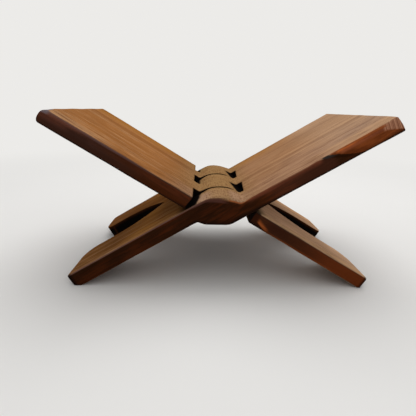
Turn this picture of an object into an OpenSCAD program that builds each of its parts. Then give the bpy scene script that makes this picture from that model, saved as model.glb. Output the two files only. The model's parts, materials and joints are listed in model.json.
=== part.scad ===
// Folding book stand carved from one plank: two leaves that cross at an interlocking knuckle hinge.
// Each leaf is a book board, a row of knuckles and a pair of legs in one length of wood.
// The floor is z = 0, the hinge axis runs along Y above the origin, and the stand is drawn open.

/* [Leaf] */
// Width of the stand along the hinge, mm
leaf_w = 200; // [160:5:260]
// Thickness of the wood in boards and legs, mm
leaf_t = 15.6; // [12:0.2:19]
// Saw gap that is left between the leaves when they are folded, mm
saw_gap = 6; // [4:0.5:9]
// Radius of the eased long edges, mm
edge_r = 2; // [0.5:0.25:4]

/* [Book board] */
// Length of a book board from the hinge axis, mm
board_len = 195; // [150:1:240]
// Radius of the outer corners seen on the flat, mm
corner_r = 5; // [2:0.5:20]
// Radius of the rounded nose along the outer end, mm
nose_r = 6; // [2:0.5:10]

/* [Legs] */
// Length of a leg from the hinge axis, mm
leg_len = 179; // [150:1:215]
// Width of the pointed arch between the two legs of a leaf, mm
arch_w = 72; // [40:1:90]
// Distance from the hinge axis to the tip of the arch, mm
arch_tip = 70; // [60:1:90]
// Share of the arch's height that is curved
arch_share = 0.64; // [0.5:0.02:0.8]
// Radius of the foot corners beside the arch, mm
foot_in_r = 16; // [4:1:24]
// Radius of the outer foot corners, mm
foot_out_r = 6; // [2:1:14]
// Depth worn off the lower corner of each foot to stand flat, mm
foot_flat = 1.5; // [0.5:0.25:3]

/* [Hinge] */
// Slope of each leaf when the stand is open, degrees
tilt = 30.8; // [27:0.2:35]
// Number of knuckles in the row, an odd number
knuckle_n = 5; // [3:2:9]
// Running gap between neighbouring knuckles, mm
side_gap = 0.8; // [0.6:0.1:1.6]
// Radius of the rounded knuckle edges, mm
knuckle_r = 1.5; // [0.5:0.25:3]
// Crown radius over the top of the knuckles, as a multiple of the half plank
crown_ratio = 2.35; // [2.1:0.05:3]
// Keel radius under the knuckles, as a multiple of the half plank
keel_ratio = 4.7; // [3:0.1:6]
// Gap left between the stop land of a leg and the board it carries, mm
stop_gap = 0.3; // [0.2:0.05:0.8]
// Width of the flat stop land on the end of a leg window, mm
stop_land = 8; // [2:0.5:9]
// Length of the relief under the stop land, mm
relief_len = 4; // [3:0.5:24]
// Gap between a board window's end and the leg that crosses it, mm
cross_gap = 2.5; // [1:0.25:5]
// Lean of a board window's end towards the hinge at the book face, degrees
end_lean = 14; // [0:1:20]

/* [Hidden] */
$fn = 96;
over = 1;
reach = board_len + leg_len;
half_gap = saw_gap / 2;
half_plank = half_gap + leaf_t;
pitch = leaf_w / knuckle_n;
axis_h = leg_len * sin(tilt) - half_gap * cos(tilt) - foot_flat;
// The crest of the crown and of the keel is level with the leg face and board face beside the axis.
crest = half_plank * cos(tilt);
crown_rad = crown_ratio * half_plank;
keel_rad = keel_ratio * half_plank;
crown_at = [(crest - crown_rad) * sin(tilt), (crest - crown_rad) * cos(tilt)];
keel_at = [(keel_rad - crest) * sin(tilt), (keel_rad - crest) * cos(tilt)];
keel_run = sqrt(keel_rad * keel_rad - (keel_at[1] + half_plank) * (keel_at[1] + half_plank));
board_root = keel_at[0] - keel_run + leaf_t / 4;
leg_root = crown_at[0];
// Along the open stop the land of a leg lies against the underside of the other leaf's board.
stop_s = half_plank / tan(tilt);
land_dir = [cos(2 * tilt), -sin(2 * tilt)];
land_back = [-stop_gap * sin(2 * tilt), -stop_gap * cos(2 * tilt)];
land_top = [-stop_s, half_plank] + land_back;
land_low = land_top + stop_land * land_dir;
land_out = land_top - 2 * over * land_dir;
board_win = stop_s + cross_gap / sin(2 * tilt);
arch_high = leg_len - arch_tip;
arch_rise = arch_share * arch_high;
arch_rad = (arch_rise * arch_rise + arch_w * arch_w / 4) / arch_w;
spring_s = -arch_tip - arch_rise;

function knuckle_lo(k) = -leaf_w / 2 + pitch * k + (k == 0 ? 0 : side_gap / 2);
function knuckle_hi(k) = -leaf_w / 2 + pitch * (k + 1) - (k == knuckle_n - 1 ? 0 : side_gap / 2);

// Waste outside a rounded corner: p is the corner, d points into the wood.
module corner_waste(p, d, r) {
    difference() {
        translate([p[0] + d[0] * (r - over) / 2, p[1] + d[1] * (r - over) / 2])
            square(r + over, center = true);
        translate([p[0] + d[0] * r, p[1] + d[1] * r])
            circle(r);
    }
}

// Lays a shape drawn along the leaf and across its thickness over the full width.
module across(width) {
    rotate([90, 0, 0])
        linear_extrude(height = width, center = true)
            children();
}

// Lays a shape drawn across the width and thickness along the leaf.
module along(from, to) {
    translate([from, 0, 0])
        rotate([90, 0, 90])
            linear_extrude(height = to - from)
                children();
}

// Section across the width with all four long edges eased.
module eased_section(low, high) {
    difference() {
        translate([-leaf_w / 2, low])
            square([leaf_w, high - low]);
        for (side = [-1, 1]) {
            corner_waste([side * leaf_w / 2, low], [-side, 1], edge_r);
            corner_waste([side * leaf_w / 2, high], [-side, -1], edge_r);
        }
    }
}

// Outline of a book board on the flat.
module board_plan() {
    difference() {
        translate([board_root, -leaf_w / 2])
            square([board_len - board_root, leaf_w]);
        for (side = [-1, 1])
            corner_waste([board_len, side * leaf_w / 2], [-1, -side], corner_r);
    }
}

// Side view of a book board with its rounded nose.
module board_side() {
    difference() {
        translate([board_root, -half_plank])
            square([board_len - board_root, leaf_t]);
        corner_waste([board_len, -half_gap], [-1, -1], nose_r);
        corner_waste([board_len, -half_plank], [-1, 1], edge_r);
    }
}

module board_plate() {
    intersection() {
        translate([0, 0, -half_plank])
            linear_extrude(height = leaf_t)
                board_plan();
        along(board_root - over, board_len + over)
            eased_section(-half_plank, -half_gap);
        across(leaf_w + 2 * over)
            board_side();
    }
}

// Pointed arch between the legs: two equal arcs that meet at the tip, then straight sides to the feet.
module arch_plan() {
    translate([spring_s, 0])
        intersection() {
            translate([0, arch_w / 2 - arch_rad])
                circle(arch_rad);
            translate([0, arch_rad - arch_w / 2])
                circle(arch_rad);
            translate([0, -arch_w])
                square([arch_rise + over, 2 * arch_w]);
        }
    translate([-leg_len - over, -arch_w / 2])
        square([leg_len + over + spring_s, arch_w]);
}

// Outline of the pair of legs on the flat.
module leg_plan() {
    difference() {
        translate([-leg_len, -leaf_w / 2])
            square([leg_len + leg_root, leaf_w]);
        arch_plan();
        for (side = [-1, 1]) {
            corner_waste([-leg_len, side * leaf_w / 2], [1, -side], foot_out_r);
            corner_waste([-leg_len, side * arch_w / 2], [1, side], foot_in_r);
        }
    }
}

// Side view of a leg with the upper edge of its foot eased.
module leg_side() {
    difference() {
        translate([-leg_len, half_gap])
            square([leg_len + leg_root, leaf_t]);
        corner_waste([-leg_len, half_plank], [1, -1], edge_r);
    }
}

module leg_plate() {
    intersection() {
        translate([0, 0, half_gap])
            linear_extrude(height = leaf_t)
                leg_plan();
        along(-leg_len - over, leg_root + over)
            eased_section(half_gap, half_plank);
        across(leaf_w + 2 * over)
            leg_side();
    }
}

// Window that the other leaf's knuckle turns in: a leaning end at the board, a stop land and relief at the leg.
module window(k) {
    translate([0, -leaf_w / 2 + pitch * (k + 0.5), 0])
        across(pitch + side_gap)
            polygon([
                land_out,
                land_low,
                [land_low[0] - relief_len, half_gap],
                [land_low[0] - relief_len, -half_plank - over],
                [board_win + over * tan(end_lean), -half_plank - over],
                [board_win - (2 * half_plank + over) * tan(end_lean), half_plank + over]
            ]);
}

// Disc about a line along the width, with both rims rounded.
module rimmed_disc(at, rad, width) {
    translate([at[0], 0, at[1]])
        rotate([90, 0, 0])
            rotate_extrude()
                difference() {
                    translate([0, -width / 2])
                        square([rad, width]);
                    corner_waste([rad, width / 2], [-1, -1], knuckle_r);
                    corner_waste([rad, -width / 2], [-1, 1], knuckle_r);
                }
}

// Knuckle: the lens between the crown arc and the keel arc, held within the plank's thickness.
module knuckle(k) {
    width = knuckle_hi(k) - knuckle_lo(k);
    middle = (knuckle_hi(k) + knuckle_lo(k)) / 2;
    intersection() {
        translate([0, middle, 0])
            rimmed_disc(crown_at, crown_rad, width);
        translate([0, middle, 0])
            rimmed_disc(keel_at, keel_rad, width);
        along(-crown_rad - keel_rad, crown_rad + keel_rad)
            eased_section(-half_plank, half_plank);
    }
}

// One leaf lying along X with the hinge axis at its origin; own is 0 for the outer knuckles, 1 for those between.
module leaf(own) {
    difference() {
        union() {
            board_plate();
            leg_plate();
        }
        for (k = [0 : knuckle_n - 1])
            if (k % 2 != own)
                window(k);
    }
    for (k = [0 : knuckle_n - 1])
        if (k % 2 == own)
            knuckle(k);
}

// Leaf raised to its slope, with the feet worn flat on the floor.
module standing_leaf(own) {
    difference() {
        translate([0, 0, axis_h])
            rotate([0, -tilt, 0])
                leaf(own);
        translate([-reach, -leaf_w, -reach])
            cube([2 * reach, 2 * leaf_w, reach]);
    }
}

// Leaf with the right-hand book board and the outer knuckles.
module outer_leaf() {
    color([0.23, 0.11, 0.07])
        standing_leaf(0);
}

// Leaf with the left-hand book board and the knuckles between.
module inner_leaf() {
    color([0.20, 0.10, 0.07])
        rotate([0, 0, 180])
            standing_leaf(1);
}

outer_leaf();
inner_leaf();
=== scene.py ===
"""Folding book stand: two leaves of dark hardwood that cross at a row of carved knuckles.

Each leaf is one closed surface. A top sheet and an under sheet share one plan grid, and walls join
them along the outline, round the hinge windows and along the arch between the legs.
A leaf is worked out lying flat: s runs along the leaf from the hinge axis (board positive, legs
negative), y runs along the hinge, and u is the height above the axis.
The wood is a base colour with layers over it, each with the places where it shows. Some layers are painted
light
and shade: warm and cool tints by side, sheen and highlights on edges, and shade in the hollows and under the
boards.
"""

import json
import math
from types import SimpleNamespace
from typing import NamedTuple

import bmesh
import bpy
import numpy as np
from mathutils import Matrix, Vector


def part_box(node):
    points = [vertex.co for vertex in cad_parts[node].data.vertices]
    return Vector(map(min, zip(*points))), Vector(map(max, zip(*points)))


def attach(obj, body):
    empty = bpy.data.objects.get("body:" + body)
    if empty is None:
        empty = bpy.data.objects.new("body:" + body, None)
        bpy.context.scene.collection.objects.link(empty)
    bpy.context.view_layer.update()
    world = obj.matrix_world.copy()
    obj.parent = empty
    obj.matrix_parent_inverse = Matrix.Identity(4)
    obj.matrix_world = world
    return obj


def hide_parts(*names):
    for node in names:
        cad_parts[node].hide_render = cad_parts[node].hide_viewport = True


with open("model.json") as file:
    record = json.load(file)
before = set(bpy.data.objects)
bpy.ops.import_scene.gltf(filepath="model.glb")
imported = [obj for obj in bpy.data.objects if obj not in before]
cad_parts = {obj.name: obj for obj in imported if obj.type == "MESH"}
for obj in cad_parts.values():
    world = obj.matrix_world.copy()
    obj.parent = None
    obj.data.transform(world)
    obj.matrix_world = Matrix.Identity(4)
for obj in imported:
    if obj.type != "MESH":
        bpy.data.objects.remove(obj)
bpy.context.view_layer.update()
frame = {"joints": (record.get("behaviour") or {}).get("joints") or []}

bl_info = {
    "name": "Folding Book Stand",
    "version": (1, 0, 0),
    "blender": (4, 5, 0),
    "location": "View3D > Sidebar > Book Stand",
    "description": "Builds a folding book stand carved from one plank, with its stage",
    "category": "Add Mesh",
}

HINGE = frame["joints"][0]
HINGE_HEIGHT = HINGE["pos_m"][2]
TILT = math.radians(180 - HINGE["range_deg"][1]) / 2
LEAF_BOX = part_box("outer_leaf")
LEAF_WIDTH = LEAF_BOX[1].y - LEAF_BOX[0].y
MM = 0.001

# Changes along a leaf or in from an edge: where each one starts and where it is complete.
CROWN_LIFT_STARTS = (-26 * MM, -10 * MM)
CROWN_LIFT_ENDS = (27 * MM, 17 * MM)
ROUND_EDGE_STARTS = (-14 * MM, 16 * MM)
ROUND_EDGE_ENDS = (25.5 * MM, 19 * MM)
FRONT_WEAR_BY_NOSE = (18 * MM, 4 * MM)
NOSE_WEAR_BY_FRONT = (26 * MM, 4 * MM)
CHAMFER_RUNS_OUT = (78 * MM, 60 * MM)
REAR_FOOT_SHORTER = (-110 * MM, -165 * MM)
UNEVEN_PAST_HINGE = (45 * MM, 80 * MM)
HOLLOW_LEAVES_LEG = (-48 * MM, -30 * MM)
HOLLOW_NEAR_HINGE = (75 * MM, 25 * MM)
ARCH_SHIFT_STARTS = -45 * MM
LEAN_STARTS = 5 * MM
LEAN_FADES = 30 * MM

# Widths of the soft creases where two faces meet, and the slope of the cut behind the keel.
CROWN_CREASE = 1.5 * MM
VALLEY_CREASE = 3.0 * MM
KEEL_CREASE = 2.0 * MM
BOARD_CREASE = 2.5 * MM
LEG_CREASE = 1.2 * MM
CHAMFER_CREASE = 0.4 * MM
KEEL_CUT_SLOPE = 1.25

# Edge radii as shares of the long edge, the window edge, the outer foot corner or the corner's wear.
UPPER_FRONT = 1.4
UPPER_BACK = 0.8
LOWER_EDGE = 0.75
ARCH_EDGE = 0.7
LOWER_WINDOW = 0.8
FRONT_FOOT = 0.5
WORN_NOSE = 1.5

# Cuts carved off the front of one board.
CHAMFER_DEPTH = 3.8 * MM
CHAMFER_WIDTH = 2.0 * MM
CORNER_LENGTH = 27 * MM
CORNER_WIDTH = 5.4 * MM
CORNER_DEPTH = 13 * MM
CORNER_SWELL = 1.2
CUT_SHOWS = (-0.3 * MM, 0.5 * MM)
CUT_FLOOR = -1.0 * MM

# Painted shade, with some dirt, in the hollows: dark rims by the windows, a painted shadow in the wedge
# behind a crown, dark walls in the arches and by the rear feet, darker undersides by the hinge. The starts of
# the wedge behind a crown are in millimetres along the leaf.
RIM_SHADE = 0.85
RIM_REACH = 1 * MM
WEDGE_START = -15.0
WEDGE_BACK_CORNER = 8.0
WEDGE_FRONT_CORNER = 4.0
SLANT_START = -4.3
SLANT_DROP = 7.8
WEDGE_FADE = (1.4 * MM, -1.4 * MM)
WEDGE_IN_FROM_SIDE = (0.8 * MM, 2.6 * MM)
FOOT_SHADE_REACH = 12 * MM
LOW_SHADE = 0.8

# Spacing of the grid lines.
LEG_STEP = 4 * MM
KNUCKLE_STEP = 1.1 * MM
BOARD_STEP = 3.5 * MM
NOSE_STEP = 2 * MM
NOSE_REACH = 40 * MM
CHAMFER_LINE = 90 * MM
CROSS_STEP = 3.4 * MM
FRONT_STEP = 1.2 * MM
FRONT_REACH = 12 * MM

# Waves of the hand-worked surface, their lengths in millimetres.
WAVE_LENGTHS = (28, 90)
WAVE_COUNT = 5
WAVE_GAIN = 2.0

# Welding of the seams, and the angle from which an edge stays sharp.
WELD_REACH = 2e-6
SLIVER_REACH = 1e-7
SHARP_ANGLE = math.radians(40)

POINT_VALUES = ("edge", "under", "hollow", "chamfer", "corner")


def length(name, description, default):
    """A length property in metres."""
    return bpy.props.FloatProperty(
        name=name, description=description, default=default, min=0.0, precision=4, subtype="DISTANCE"
    )


def ratio(name, description, default):
    """A property without a unit."""
    return bpy.props.FloatProperty(name=name, description=description, default=default, min=0.0)


def angle(name, description, degrees):
    """An angle property, given in degrees."""
    return bpy.props.FloatProperty(
        name=name, description=description, default=math.radians(degrees), subtype="ANGLE"
    )


def colour(name, description, default):
    """A linear colour property."""
    return bpy.props.FloatVectorProperty(
        name=name, description=description, default=default, size=3, min=0.0, max=1.0, subtype="COLOR"
    )


class BookStandSizes(bpy.types.PropertyGroup):
    """Driving sizes of the two leaves."""

    width: length("Width", "Width of the stand along the hinge", LEAF_WIDTH)
    thickness: length("Thickness", "Thickness of the wood in boards and legs", 15.6 * MM)
    saw_gap: length("Saw gap", "Gap left between the folded leaves", 6 * MM)
    board_length: length("Board length", "Length of a book board from the hinge axis", 195 * MM)
    leg_length: length("Leg length", "Length of a leg from the hinge axis", 179 * MM)
    arch_width: length("Arch width", "Width of the pointed arch between the legs", 72 * MM)
    arch_tip: length("Arch tip", "Distance from the hinge axis to the tip of the arch", 70 * MM)
    arch_share: ratio("Arch share", "Share of the arch's height that is curved", 0.64)
    foot_inner: length("Inner foot corner", "Radius of a foot's corner beside the arch", 20 * MM)
    foot_outer: length("Outer foot corner", "Radius of a foot's outer corner", 5 * MM)
    edge_radius: length("Edge radius", "Radius of the eased long edges", 2 * MM)
    window_radius: length("Window edge", "Radius of the edges round the hinge windows", 1.1 * MM)
    knuckles: bpy.props.IntProperty(name="Knuckles", description="Knuckles in the row", default=5, min=3)
    side_gap: length("Side gap", "Running gap between neighbouring knuckles", 0.8 * MM)
    crown_ratio: ratio("Crown ratio", "Crown radius over the knuckles per half plank", 2.35)
    keel_ratio: ratio("Keel ratio", "Reach of the keel behind the hinge axis per half plank", 1.57)
    stop_gap: length("Stop gap", "Gap between a leg's stop land and the board on it", 0.3 * MM)
    stop_land: length("Stop land", "Width of the stop land on a leg window's end", 8 * MM)
    relief: length("Relief", "Length of the relief under the stop land", 4 * MM)
    cross_gap: length("Crossing gap", "Gap between a board window's end and the leg in it", 2.5 * MM)
    end_lean: angle("End lean", "Lean of a board window's end towards the hinge at the book face", 14.0)
    crown_edge: length("Crown edge", "Radius of the outer knuckles' outer edges over the crown", 9.5 * MM)
    unevenness: length("Unevenness", "Height of the hand-worked unevenness", 0.1 * MM)


class BookStandColours(bpy.types.PropertyGroup):
    """Colours of the oiled wood, some of them painted light and shade."""

    # Warm face and grey face are partly painted light: the left side is tinted as if lit warm and the right
    # side as if lit cool, over the wood's own variation.
    warm_face: colour("Warm face", "Broad faces of the left side", (0.36, 0.146, 0.043))
    grey_face: colour("Grey face", "Broad faces of the right side", (0.49, 0.295, 0.172))
    gold_face: colour("Golden face", "Knuckle tops", (0.325, 0.186, 0.074))
    pale: colour("Pale streak", "Pale growth lines in the faces", (0.60, 0.36, 0.19))
    streak: colour("Dark streak", "Dark growth lines in the faces", (0.120, 0.045, 0.018))
    # The dark edge colour is partly the wood's darker narrow faces and partly painted shade on the fronts and
    # undersides.
    edge: colour("Edge", "Narrow faces and undersides", (0.025, 0.0080, 0.0028))
    russet: colour("Russet", "Red-brown patches on the narrow faces", (0.105, 0.023, 0.006))
    # Glow is red wood laid bare, and also painted orange highlights in the valley beside the crown and on a
    # leg's end.
    glow: colour("Glow", "Red wood laid bare along some front edges, and painted orange highlights", (0.36, 0.090, 0.022))
    rose: colour("Rose", "Pinkish cast of the right board and the front knuckle", (0.45, 0.275, 0.185))
    amber: colour("Amber", "Deeper yellow-brown of the boards towards the back", (0.37, 0.160, 0.032))
    # Old gold and pale tan carry the same painted light on the legs: the left legs warm, the right legs pale
    # as if lit from the right.
    old_gold: colour("Old gold", "Tops of the left legs", (0.62, 0.275, 0.058))
    pale_tan: colour("Pale tan", "Tops of the right legs", (0.88, 0.55, 0.345))
    # Arris is a painted purplish sheen on the rounded front edges, also a purplish tone in some red patches.
    arris: colour("Arris", "Front edges with a painted purplish sheen", (0.090, 0.060, 0.059))
    # Sheen is a painted greyish highlight on the nose and a painted grey reflection along the right board.
    sheen: colour("Sheen", "Greyish painted sheen on the left nose and along the right board", (0.170, 0.140, 0.155))
    bark: colour("Bark", "Dark sliver and smoky patches in the fronts of the boards", (0.038, 0.028, 0.024))
    # Grime and shade: old oil and dust, and painted shade in the hinge's wedges and gaps, the arches, under
    # the knuckle and along lower edges.
    grime: colour("Grime", "Old oil and dust, and painted shade, in the hinge, the gaps and the arches", (0.0045, 0.0032, 0.0028))


class BookStandStage(bpy.types.PropertyGroup):
    """Floor and light."""

    floor: colour("Floor", "Colour of the pale floor and background", (0.84, 0.83, 0.81))
    key: ratio("Key light", "Power of the soft light above, in watts", 11.0)
    fill: ratio("Fill light", "Power of the soft light in front, in watts", 1.0)
    zenith: ratio("Zenith", "Strength of the light from straight above", 0.80)
    horizon: ratio("Horizon", "Strength of the light from the sides", 0.22)


def smooth_step(low, high, value):
    """Rises from 0 at low to 1 at high along 3t^2 - 2t^3."""
    t = np.clip((value - low) / (high - low), 0.0, 1.0)
    return t * t * (3.0 - 2.0 * t)


def smooth_max(a, b, width):
    """The larger of a and b, with a parabola of the given width where they cross."""
    share = np.clip(0.5 + 0.5 * (a - b) / width, 0.0, 1.0)
    return b + (a - b) * share + width * share * (1.0 - share)


def smooth_min(a, b, width):
    """The smaller of a and b, blended as in smooth_max."""
    return -smooth_max(-a, -b, width)


def roundover(distance, radius):
    """Fall of a rounded edge: radius minus the height of a quarter circle, as a share of the radius."""
    reach = np.clip(1.0 - distance / radius, 0.0, 1.0)
    return 1.0 - np.sqrt(1.0 - reach * reach)


def leaf_outline(leaf, sizes):
    """Ends, arcs, windows, stop land and arch that follow from the driving sizes."""
    o = SimpleNamespace()
    o.board_end = sizes.board_length + leaf.board_extra
    o.leg_end = sizes.leg_length + leaf.leg_extra
    o.arch_tip = sizes.arch_tip - leaf.tip_in
    o.half_width = sizes.width / 2
    o.half_gap = sizes.saw_gap / 2
    o.half_plank = o.half_gap + sizes.thickness
    o.leg_under = o.half_gap - leaf.leg_thicker
    o.crown_lift = leaf.crown_lift
    o.crest = o.half_plank * math.cos(TILT)
    o.crown_radius = sizes.crown_ratio * o.half_plank
    o.crown_s = (o.crest - o.crown_radius) * math.sin(TILT)
    o.crown_u = (o.crest - o.crown_radius) * math.cos(TILT)
    fold = 2 * TILT
    stop_s = o.half_plank / math.tan(TILT)
    o.land_s = -stop_s - sizes.stop_gap * math.sin(fold)
    o.land_u = o.half_plank - sizes.stop_gap * math.cos(fold)
    o.lip_s = o.land_s + sizes.stop_land * math.cos(fold)
    o.lip_u = o.land_u - sizes.stop_land * math.sin(fold)
    o.relief_s = o.lip_s - sizes.relief
    o.keel_start = -sizes.keel_ratio * o.half_plank
    o.board_window = stop_s + sizes.cross_gap / math.sin(fold)
    o.window_top = o.board_window - sizes.thickness * math.tan(sizes.end_lean) - leaf.window_in
    rise = sizes.arch_share * (sizes.leg_length - o.arch_tip)
    o.arch_radius = (rise**2 + sizes.arch_width**2 / 4) / sizes.arch_width
    o.arch_spring = -o.arch_tip - rise
    o.pitch = sizes.width / sizes.knuckles
    return o


def top_profile(s, o):
    """Height of the upper face: the leg's outer face, the crown's arc over the knuckles, the book face."""
    arc = o.crown_u + np.sqrt(np.maximum(o.crown_radius**2 - (s - o.crown_s) ** 2, 0.0))
    crown = np.where(s < o.crown_s, o.half_plank, smooth_min(arc, o.half_plank + 0 * s, CROWN_CREASE))
    lift = o.crown_lift * smooth_step(*CROWN_LIFT_STARTS, s) * smooth_step(*CROWN_LIFT_ENDS, s)
    return smooth_max(crown, -o.half_gap + 0 * s, VALLEY_CREASE) + lift


def under_profile(s, o):
    """Height of the lower face: the leg's inner face, the keel under the knuckles, the board's underside.

    The keel is a steep cut behind the leg and a flat that lies level when the stand is open.
    """
    level = (-o.crest - s * math.sin(TILT)) / math.cos(TILT)
    steep = o.half_gap - KEEL_CUT_SLOPE * (s - o.keel_start)
    keel = smooth_max(smooth_max(level, steep, KEEL_CREASE), -o.half_plank + 0 * s, BOARD_CREASE)
    return smooth_min(keel, o.leg_under + 0 * s, LEG_CREASE)


def relief_profile(s, o):
    """Height of the relief under a leg window's end: a straight slope from the inner face up to the lip."""
    climb = np.clip((s - o.relief_s) / (o.lip_s - o.relief_s), 0.0, 1.0)
    return o.leg_under + (o.lip_u - o.leg_under) * climb


def arch_middle(s, leaf, o):
    """Place of the arch's middle across the leaf, drawn aside smoothly before the tip."""
    return leaf.arch_shift * smooth_step(ARCH_SHIFT_STARTS, -o.arch_tip, s)


def arch_half_width(s, sizes, o):
    """Half the arch's width at s: an arc from the tip to the spring line, then straight to the foot."""
    drop = np.clip(s - o.arch_spring, 0.0, None)
    arc = np.sqrt(np.maximum(o.arch_radius**2 - drop**2, 0.0)) - o.arch_radius + sizes.arch_width / 2
    return np.where(s < -o.arch_tip, np.maximum(arc, 0.0), 0.0)


def crowd(edge, inward, radius):
    """Grid lines that crowd towards a rounded edge: radius times one minus the cosine of even angles."""
    lines = 6
    beyond = 1.7
    turn = 1.0 - np.cos(np.linspace(0.0, math.pi / 2, lines))
    return edge + inward * radius * np.append(turn, beyond)


def filled(lines, step):
    """The given lines with even fill-ins, so that no two are further apart than step(place)."""
    slack = 0.01
    lines = np.unique(np.round(lines, 7))
    spans = []
    for low, high in zip(lines[:-1], lines[1:]):
        parts = max(1, math.ceil((high - low) / step((low + high) / 2) - slack))
        spans.append(np.linspace(low, high, parts + 1)[:-1])
    return np.concatenate(spans + [lines[-1:]])


def round_plan_corner(s, y, at, inward, radius):
    """Bends a square corner patch into a quarter disc: p, q become p*sqrt(1-q^2/2), q*sqrt(1-p^2/2)."""
    full = 1.001
    p = 1.0 - inward[0] * (s - at[0]) / radius
    q = 1.0 - inward[1] * (y - at[1]) / radius
    inside = (p > 0.0) & (q > 0.0) & (p < full) & (q < full)
    p = np.clip(p, 0.0, 1.0)
    q = np.clip(q, 0.0, 1.0)
    bent_s = at[0] + inward[0] * radius * (1.0 - p * np.sqrt(1.0 - q * q / 2))
    bent_y = at[1] + inward[1] * radius * (1.0 - q * np.sqrt(1.0 - p * p / 2))
    return np.where(inside, bent_s, s), np.where(inside, bent_y, y)


def corner_share(end, side, radius, end_radius, side_radius):
    """Depth of the rounding at a rounded plan corner, where the end's radius turns into the side's."""
    p = np.clip(radius - end, 0.0, None)
    q = np.clip(radius - side, 0.0, None)
    turn = smooth_step(0.0, math.pi / 2, np.arctan2(q, p))
    edge = end_radius + (side_radius - end_radius) * turn
    share = roundover(np.maximum(radius - np.hypot(p, q), 0.0), edge)
    inside = (p > 0.0) & (q > 0.0)
    return np.where(inside, share, 0.0), edge


def leaf_windows(leaf, sizes, o):
    """Low and high y of the windows that the other leaf's knuckles turn in, open past the outer edges."""
    order = np.arange(sizes.knuckles)
    order = order[order % 2 != leaf.own]
    low = -o.half_width + o.pitch * order - sizes.side_gap / 2
    high = -o.half_width + o.pitch * (order + 1) + sizes.side_gap / 2
    beyond = 10 * o.half_width
    low = np.where(order == 0, -beyond, low)
    high = np.where(order == sizes.knuckles - 1, beyond, high)
    return low, high


def window_turn(leaf, o, y):
    """How far round a window's end is cut out of square: 0 at its front corner, 1 at its back corner."""
    ahead = leaf.front * y / o.pitch
    return np.interp(ahead, [-2.5, -1.5, -0.5, 0.5, 1.5, 2.5], [0.0, 1.0, 0.0, 1.0, 0.0, 0.0])


def window_distance(s, y, windows, start, stop):
    """Distance on the flat from the nearest window, each a rectangle from start to stop."""
    past_s = np.maximum(np.maximum(start - s, s - stop), 0.0)
    low = windows[0].reshape(-1, 1, 1)
    high = windows[1].reshape(-1, 1, 1)
    past_y = np.maximum(np.maximum(low - y, y - high), 0.0)
    return np.hypot(past_s, past_y).min(axis=0)


def arch_distance(leaf, sizes, o, s, y):
    """Distance on the flat from the arch's middle and from its side, which is an arc and then straight."""
    beside = np.abs(y - arch_middle(s, leaf, o))
    past = np.hypot(np.maximum(s - o.arch_spring, 0.0), beside + o.arch_radius - sizes.arch_width / 2)
    return beside, past - o.arch_radius


def front_facets(front, nose):
    """Cuts off one board's front: a steep chamfer that widens outwards, and a swelling cut at the corner."""
    run = smooth_step(*CHAMFER_RUNS_OUT, nose)
    chamfer = run * CHAMFER_DEPTH * (1.0 - front / CHAMFER_WIDTH) - (1.0 - run) * CHAMFER_WIDTH
    inside = 1.0 - nose / CORNER_LENGTH - front / CORNER_WIDTH
    corner = CORNER_DEPTH * np.sign(inside) * np.abs(inside) ** CORNER_SWELL
    return chamfer, corner


def edge_fall(leaf, sizes, o, windows, s, y, upper):
    """How far a sheet falls away towards its edges, and how far round each edge it has turned (0 to 1).

    Each edge gives a quarter circle of its own radius over its distance on the flat; the deepest counts.
    """
    r = sizes.edge_radius
    front = o.half_width - leaf.front * y
    back = o.half_width + leaf.front * y
    nose = o.board_end - s
    foot = s + o.leg_end
    beside, arch = arch_distance(leaf, sizes, o, s, y)
    hole_span = (o.land_s, o.window_top) if upper else (o.lip_s, o.board_window)
    hole = window_distance(s, y, windows, *hole_span)
    if upper:
        crown = smooth_step(*ROUND_EDGE_STARTS, s) * smooth_step(*ROUND_EDGE_ENDS, s)
        worn = leaf.corner_wear * smooth_step(*FRONT_WEAR_BY_NOSE, nose)
        front_r = UPPER_FRONT * r + (sizes.crown_edge - UPPER_FRONT * r) * crown + worn
        back_r = UPPER_BACK * front_r
        nose_r = leaf.nose_top + WORN_NOSE * leaf.corner_wear * smooth_step(*NOSE_WEAR_BY_FRONT, front)
        nose_deep, foot_r, hole_r = leaf.nose_deep, leaf.foot_top, sizes.window_radius
    else:
        front_r = LOWER_EDGE * r + 0 * s
        back_r = LOWER_EDGE * r
        nose_r = nose_deep = leaf.nose_under
        foot_r, hole_r = leaf.foot_under, LOWER_WINDOW * sizes.window_radius
    arch_r = ARCH_EDGE * r
    terms = [
        (roundover(front, front_r), front_r),
        (roundover(back, back_r), back_r),
        (roundover(nose, nose_r), nose_deep),
        (roundover(foot, foot_r), foot_r),
        (roundover(arch, arch_r), arch_r),
        (roundover(hole, hole_r), hole_r),
        corner_share(nose, front, leaf.corner, nose_r, front_r),
        corner_share(nose, back, leaf.corner, nose_r, back_r),
        corner_share(foot, front, FRONT_FOOT * sizes.foot_outer, foot_r, front_r),
        corner_share(foot, back, sizes.foot_outer, foot_r, back_r),
        corner_share(foot, beside - sizes.arch_width / 2, sizes.foot_inner, foot_r, arch_r),
    ]
    turned = np.stack([share for share, radius in terms]).max(axis=0)
    fall = np.stack([share * radius for share, radius in terms]).max(axis=0)
    cuts = [0 * s, 0 * s]
    if upper and leaf.facet:
        chamfer, corner = front_facets(front, nose)
        cut = np.maximum(chamfer, corner)
        carved = smooth_step(*CUT_SHOWS, cut - fall)
        cuts = [carved * (chamfer >= corner), carved * (corner > chamfer)]
        fall = smooth_max(fall, np.maximum(cut, CUT_FLOOR), CHAMFER_CREASE)
    return fall, turned, cuts


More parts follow.
